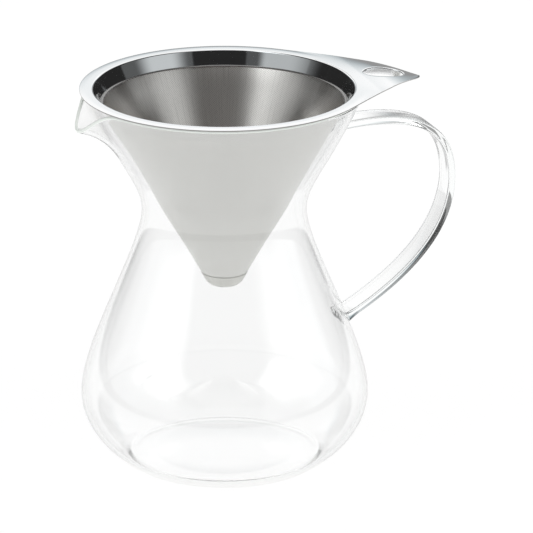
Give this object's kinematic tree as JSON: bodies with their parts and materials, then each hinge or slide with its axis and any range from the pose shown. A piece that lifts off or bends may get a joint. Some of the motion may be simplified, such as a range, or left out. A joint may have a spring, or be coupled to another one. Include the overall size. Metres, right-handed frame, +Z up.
{
  "type": "coffee pot with filter",
  "caption": "Waisted glass coffee jug with a strap handle, a pouring spout and a lift-out steel cone filter that rests on its flared mouth.",
  "frame": {"origin": "centre of the jug's flat foot, on the table", "axes": "+Z up along the jug's axis, +X towards the handle and the filter's finger tab, -X towards the spout"},
  "size_m": [0.1781, 0.1302, 0.175],
  "materials": {
    "clear_glass": "clear fire-polished heat-proof glass",
    "polished_steel": "mirror-polished stainless sheet",
    "satin_steel": "satin stainless sheet with fine perforation",
    "woven_steel": "fine woven stainless mesh"
  },
  "bodies": {
    "jug": {"glass_body": "clear_glass", "glass_handle": "clear_glass"},
    "filter": {"rim_plate": "polished_steel", "hem_ring": "polished_steel", "outer_cone": "satin_steel", "inner_mesh": "woven_steel", "tip_cap": "satin_steel", "tip_insert": "polished_steel"}
  },
  "joints": [
    {"name": "filter_lift", "type": "slide", "parent": "jug", "child": "filter", "axis": [0, 0, 1], "range_m": [0, 0.12]}
  ]
}
